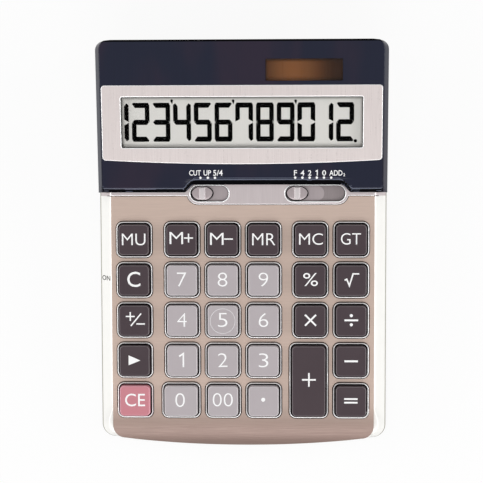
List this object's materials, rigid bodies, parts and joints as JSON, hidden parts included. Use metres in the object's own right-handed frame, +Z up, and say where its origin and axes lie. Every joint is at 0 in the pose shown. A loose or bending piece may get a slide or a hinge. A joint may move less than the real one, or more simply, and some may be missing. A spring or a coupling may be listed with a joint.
{
  "type": "desktop calculator",
  "caption": "Sloping desktop calculator with sprung square keys, a tall plus key, slide switches, a raised display cover, a solar cell and a sliding battery door",
  "frame": {"origin": "middle of the bounding box in plan, on the table plane under the rubber feet", "axes": "+Z up; +Y from the keys to the display end, along the length; +X to the user's right"},
  "size_m": [0.1414, 0.1979, 0.0384],
  "materials": {
    "champagne_case": "satin champagne metallic paint on plastic",
    "brushed_plate": "fine horizontal brushed champagne",
    "panel_metal": "fine brushed pale silver",
    "cover_gloss": "deep blue-black gloss",
    "frame_silver": "fine brushed silver",
    "clear_pane": "clear polished",
    "display_glass": "pale grey reflective display",
    "solar_brown": "dark brown solar cell",
    "dark_key": "dark warm grey moulded plastic",
    "light_key": "light grey moulded plastic",
    "pink_key": "rose pink moulded plastic",
    "knob_metal": "satin metallic paint",
    "bottom_plastic": "fine textured plastic",
    "foot_rubber": "matt black rubber",
    "mat_rubber": "grey silicone rubber",
    "board_green": "green solder mask",
    "ribbon_film": "amber film",
    "cell_steel": "polished steel can",
    "contact_steel": "plated spring steel",
    "screw_steel": "plated steel"
  },
  "bodies": {
    "case": {"bottom_case": "bottom_plastic", "top_case": "champagne_case", "faceplate": "brushed_plate", "panel_trim": "panel_metal", "display_cover": "cover_gloss", "display_frame": "frame_silver", "display_window": "clear_pane", "display_panel": "display_glass", "solar_window": "clear_pane", "solar_cell": "solar_brown", "key_mat": "mat_rubber", "circuit_board": "board_green", "display_ribbon": "ribbon_film", "button_cell": "cell_steel", "contact_top": "contact_steel", "contact_side": "contact_steel", "foot_front_left": "foot_rubber", "foot_front_right": "foot_rubber", "foot_rear_left": "foot_rubber", "foot_rear_right": "foot_rubber", "screw_front_left": "screw_steel", "screw_front_right": "screw_steel", "screw_rear_left": "screw_steel", "screw_rear_right": "screw_steel"},
    "key_mu": {"key_mu": "dark_key"},
    "key_clear": {"key_clear": "dark_key"},
    "key_sign": {"key_sign": "dark_key"},
    "key_shift": {"key_shift": "dark_key"},
    "key_clear_entry": {"key_clear_entry": "pink_key"},
    "key_memory_add": {"key_memory_add": "dark_key"},
    "key_7": {"key_7": "light_key"},
    "key_4": {"key_4": "light_key"},
    "key_1": {"key_1": "light_key"},
    "key_0": {"key_0": "light_key"},
    "key_memory_subtract": {"key_memory_subtract": "dark_key"},
    "key_8": {"key_8": "light_key"},
    "key_5": {"key_5": "light_key"},
    "key_2": {"key_2": "light_key"},
    "key_00": {"key_00": "light_key"},
    "key_memory_recall": {"key_memory_recall": "dark_key"},
    "key_9": {"key_9": "light_key"},
    "key_6": {"key_6": "light_key"},
    "key_3": {"key_3": "light_key"},
    "key_point": {"key_point": "light_key"},
    "key_memory_clear": {"key_memory_clear": "dark_key"},
    "key_percent": {"key_percent": "dark_key"},
    "key_times": {"key_times": "dark_key"},
    "key_plus": {"key_plus": "dark_key"},
    "key_grand_total": {"key_grand_total": "dark_key"},
    "key_root": {"key_root": "dark_key"},
    "key_divide": {"key_divide": "dark_key"},
    "key_minus": {"key_minus": "dark_key"},
    "key_equals": {"key_equals": "dark_key"},
    "rounding_knob": {"rounding_knob": "knob_metal"},
    "decimal_knob": {"decimal_knob": "knob_metal"},
    "battery_door": {"battery_door": "bottom_plastic"}
  },
  "joints": [
    {"name": "key_mu_press", "type": "slide", "parent": "case", "child": "key_mu", "axis": [0, 0.0785, -0.9969], "range_m": [0, 0.0015], "stiffness_N_per_m": 300, "springref_m": -0.001},
    {"name": "key_clear_press", "type": "slide", "parent": "case", "child": "key_clear", "axis": [0, 0.0785, -0.9969], "range_m": [0, 0.0015], "stiffness_N_per_m": 300, "springref_m": -0.001},
    {"name": "key_sign_press", "type": "slide", "parent": "case", "child": "key_sign", "axis": [0, 0.0785, -0.9969], "range_m": [0, 0.0015], "stiffness_N_per_m": 300, "springref_m": -0.001},
    {"name": "key_shift_press", "type": "slide", "parent": "case", "child": "key_shift", "axis": [0, 0.0785, -0.9969], "range_m": [0, 0.0015], "stiffness_N_per_m": 300, "springref_m": -0.001},
    {"name": "key_clear_entry_press", "type": "slide", "parent": "case", "child": "key_clear_entry", "axis": [0, 0.0785, -0.9969], "range_m": [0, 0.0015], "stiffness_N_per_m": 300, "springref_m": -0.001},
    {"name": "key_memory_add_press", "type": "slide", "parent": "case", "child": "key_memory_add", "axis": [0, 0.0785, -0.9969], "range_m": [0, 0.0015], "stiffness_N_per_m": 300, "springref_m": -0.001},
    {"name": "key_7_press", "type": "slide", "parent": "case", "child": "key_7", "axis": [0, 0.0785, -0.9969], "range_m": [0, 0.0015], "stiffness_N_per_m": 300, "springref_m": -0.001},
    {"name": "key_4_press", "type": "slide", "parent": "case", "child": "key_4", "axis": [0, 0.0785, -0.9969], "range_m": [0, 0.0015], "stiffness_N_per_m": 300, "springref_m": -0.001},
    {"name": "key_1_press", "type": "slide", "parent": "case", "child": "key_1", "axis": [0, 0.0785, -0.9969], "range_m": [0, 0.0015], "stiffness_N_per_m": 300, "springref_m": -0.001},
    {"name": "key_0_press", "type": "slide", "parent": "case", "child": "key_0", "axis": [0, 0.0785, -0.9969], "range_m": [0, 0.0015], "stiffness_N_per_m": 300, "springref_m": -0.001},
    {"name": "key_memory_subtract_press", "type": "slide", "parent": "case", "child": "key_memory_subtract", "axis": [0, 0.0785, -0.9969], "range_m": [0, 0.0015], "stiffness_N_per_m": 300, "springref_m": -0.001},
    {"name": "key_8_press", "type": "slide", "parent": "case", "child": "key_8", "axis": [0, 0.0785, -0.9969], "range_m": [0, 0.0015], "stiffness_N_per_m": 300, "springref_m": -0.001},
    {"name": "key_5_press", "type": "slide", "parent": "case", "child": "key_5", "axis": [0, 0.0785, -0.9969], "range_m": [0, 0.0015], "stiffness_N_per_m": 300, "springref_m": -0.001},
    {"name": "key_2_press", "type": "slide", "parent": "case", "child": "key_2", "axis": [0, 0.0785, -0.9969], "range_m": [0, 0.0015], "stiffness_N_per_m": 300, "springref_m": -0.001},
    {"name": "key_00_press", "type": "slide", "parent": "case", "child": "key_00", "axis": [0, 0.0785, -0.9969], "range_m": [0, 0.0015], "stiffness_N_per_m": 300, "springref_m": -0.001},
    {"name": "key_memory_recall_press", "type": "slide", "parent": "case", "child": "key_memory_recall", "axis": [0, 0.0785, -0.9969], "range_m": [0, 0.0015], "stiffness_N_per_m": 300, "springref_m": -0.001},
    {"name": "key_9_press", "type": "slide", "parent": "case", "child": "key_9", "axis": [0, 0.0785, -0.9969], "range_m": [0, 0.0015], "stiffness_N_per_m": 300, "springref_m": -0.001},
    {"name": "key_6_press", "type": "slide", "parent": "case", "child": "key_6", "axis": [0, 0.0785, -0.9969], "range_m": [0, 0.0015], "stiffness_N_per_m": 300, "springref_m": -0.001},
    {"name": "key_3_press", "type": "slide", "parent": "case", "child": "key_3", "axis": [0, 0.0785, -0.9969], "range_m": [0, 0.0015], "stiffness_N_per_m": 300, "springref_m": -0.001},
    {"name": "key_point_press", "type": "slide", "parent": "case", "child": "key_point", "axis": [0, 0.0785, -0.9969], "range_m": [0, 0.0015], "stiffness_N_per_m": 300, "springref_m": -0.001},
    {"name": "key_memory_clear_press", "type": "slide", "parent": "case", "child": "key_memory_clear", "axis": [0, 0.0785, -0.9969], "range_m": [0, 0.0015], "stiffness_N_per_m": 300, "springref_m": -0.001},
    {"name": "key_percent_press", "type": "slide", "parent": "case", "child": "key_percent", "axis": [0, 0.0785, -0.9969], "range_m": [0, 0.0015], "stiffness_N_per_m": 300, "springref_m": -0.001},
    {"name": "key_times_press", "type": "slide", "parent": "case", "child": "key_times", "axis": [0, 0.0785, -0.9969], "range_m": [0, 0.0015], "stiffness_N_per_m": 300, "springref_m": -0.001},
    {"name": "key_plus_press", "type": "slide", "parent": "case", "child": "key_plus", "axis": [0, 0.0785, -0.9969], "range_m": [0, 0.0015], "stiffness_N_per_m": 300, "springref_m": -0.001},
    {"name": "key_grand_total_press", "type": "slide", "parent": "case", "child": "key_grand_total", "axis": [0, 0.0785, -0.9969], "range_m": [0, 0.0015], "stiffness_N_per_m": 300, "springref_m": -0.001},
    {"name": "key_root_press", "type": "slide", "parent": "case", "child": "key_root", "axis": [0, 0.0785, -0.9969], "range_m": [0, 0.0015], "stiffness_N_per_m": 300, "springref_m": -0.001},
    {"name": "key_divide_press", "type": "slide", "parent": "case", "child": "key_divide", "axis": [0, 0.0785, -0.9969], "range_m": [0, 0.0015], "stiffness_N_per_m": 300, "springref_m": -0.001},
    {"name": "key_minus_press", "type": "slide", "parent": "case", "child": "key_minus", "axis": [0, 0.0785, -0.9969], "range_m": [0, 0.0015], "stiffness_N_per_m": 300, "springref_m": -0.001},
    {"name": "key_equals_press", "type": "slide", "parent": "case", "child": "key_equals", "axis": [0, 0.0785, -0.9969], "range_m": [0, 0.0015], "stiffness_N_per_m": 300, "springref_m": -0.001},
    {"name": "rounding_knob_slide", "type": "slide", "parent": "case", "child": "rounding_knob", "axis": [1, 0, 0], "range_m": [0, 0.0071]},
    {"name": "decimal_knob_slide", "type": "slide", "parent": "case", "child": "decimal_knob", "axis": [1, 0, 0], "range_m": [0, 0.0176]},
    {"name": "battery_door_slide", "type": "slide", "parent": "case", "child": "battery_door", "axis": [0, 1, 0], "range_m": [0, 0.03]}
  ]
}
